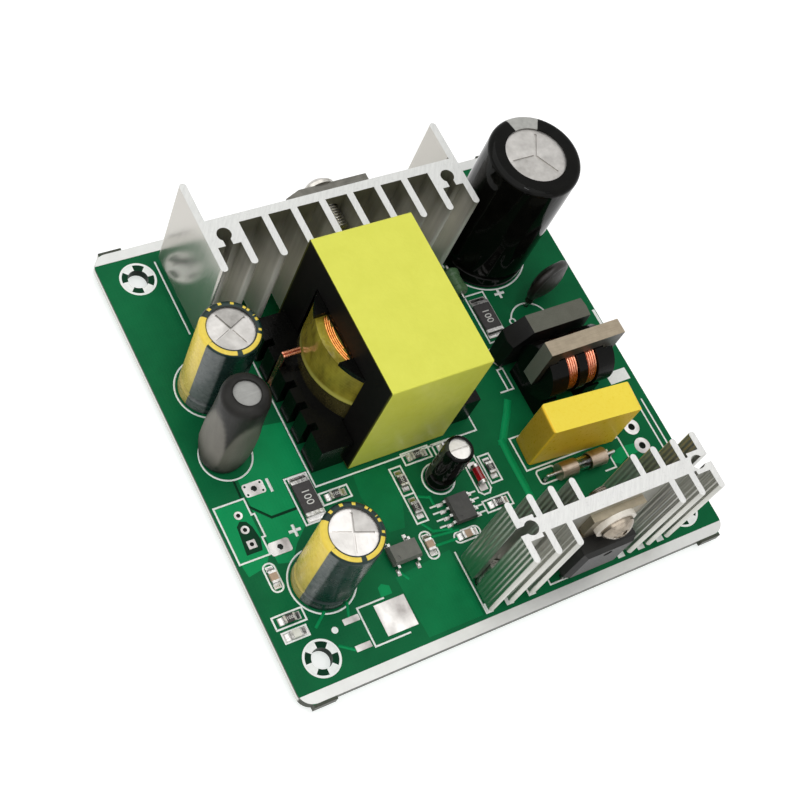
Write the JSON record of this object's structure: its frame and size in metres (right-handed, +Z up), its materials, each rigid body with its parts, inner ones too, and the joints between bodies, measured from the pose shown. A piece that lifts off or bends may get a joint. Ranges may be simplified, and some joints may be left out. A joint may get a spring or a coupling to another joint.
{
  "type": "power_supply_module",
  "caption": "Open board power supply module with two finned heatsinks, a taped transformer, electrolytic capacitors and a mains filter on a green board with corner mounting holes",
  "frame": {"origin": "middle of the four mounting holes, on the underside of the board", "axes": "+X along the board to the mains filter side, +Y back to the large heatsink, +Z up out of the board's parts side"},
  "size_m": [0.0826, 0.083, 0.0316],
  "materials": {
    "solder_mask": "semi-gloss green mask over fibreglass laminate",
    "tin": "bright tin and solder",
    "sink_aluminium": "sawn and drawn extrusion",
    "screw_steel": "plated steel",
    "moulding_black": "moulded epoxy",
    "bush_white": "moulded nylon",
    "ferrite": "sintered",
    "loop_ferrite": "ground ferrite",
    "tape_yellow": "polyester film tape",
    "bobbin_black": "moulded phenolic",
    "winding_tape": "translucent film tape over wire",
    "copper_wire": "enamelled copper",
    "can_aluminium": "satin",
    "sleeve_black": "printed shrink sleeve",
    "sleeve_green": "printed shrink sleeve",
    "shrink_sleeve": "satin shrink tube",
    "coil_core": "sintered",
    "film_yellow": "moulded box",
    "disc_coat": "dipped coating",
    "resistor_coat": "dipped coating",
    "clear_glass": "clear",
    "chip_black": "glazed",
    "chip_tan": "fired",
    "red_glass": "sealed glass",
    "lens_white": "clear resin"
  },
  "bodies": {
    "root": {"pcb": "solder_mask", "solder_pads": "tin", "rear_heatsink": "sink_aluminium", "rear_heatsink_pins": "tin", "rear_device_tab": "tin", "rear_device_body": "moulding_black", "rear_device_leads": "tin", "rear_screw": "screw_steel", "front_heatsink": "sink_aluminium", "front_heatsink_pins": "tin", "front_device_tab": "tin", "front_device_body": "moulding_black", "front_device_leads": "tin", "front_bush": "bush_white", "front_screw": "screw_steel", "transformer_core": "ferrite", "transformer_tape": "tape_yellow", "transformer_bobbin": "bobbin_black", "transformer_winding": "winding_tape", "transformer_wires": "copper_wire", "transformer_pins": "tin", "bulk_cap_can": "can_aluminium", "bulk_cap_sleeve": "sleeve_black", "bulk_cap_leads": "tin", "output_cap_cans": "can_aluminium", "output_cap_sleeves": "sleeve_green", "output_cap_leads": "tin", "small_cap_can": "can_aluminium", "small_cap_sleeve": "sleeve_black", "small_cap_leads": "tin", "inductor_core": "coil_core", "inductor_sleeve": "shrink_sleeve", "inductor_leads": "tin", "film_cap_body": "film_yellow", "film_cap_leads": "tin", "choke_core": "loop_ferrite", "choke_bobbin": "bobbin_black", "choke_windings": "copper_wire", "choke_pins": "tin", "bridge_body": "moulding_black", "bridge_leads": "tin", "thermistor_disc": "disc_coat", "thermistor_leads": "tin", "axial_resistor_body": "resistor_coat", "axial_resistor_leads": "tin", "fuse_glass": "clear_glass", "fuse_caps": "tin", "fuse_leads": "tin", "control_chip_body": "moulding_black", "control_chip_leads": "tin", "coupler_body": "moulding_black", "coupler_leads": "tin", "diode_glass": "red_glass", "diode_caps": "tin", "chip_resistors": "chip_black", "chip_capacitors": "chip_tan", "chip_terminals": "tin", "status_light": "lens_white"}
  },
  "joints": []
}
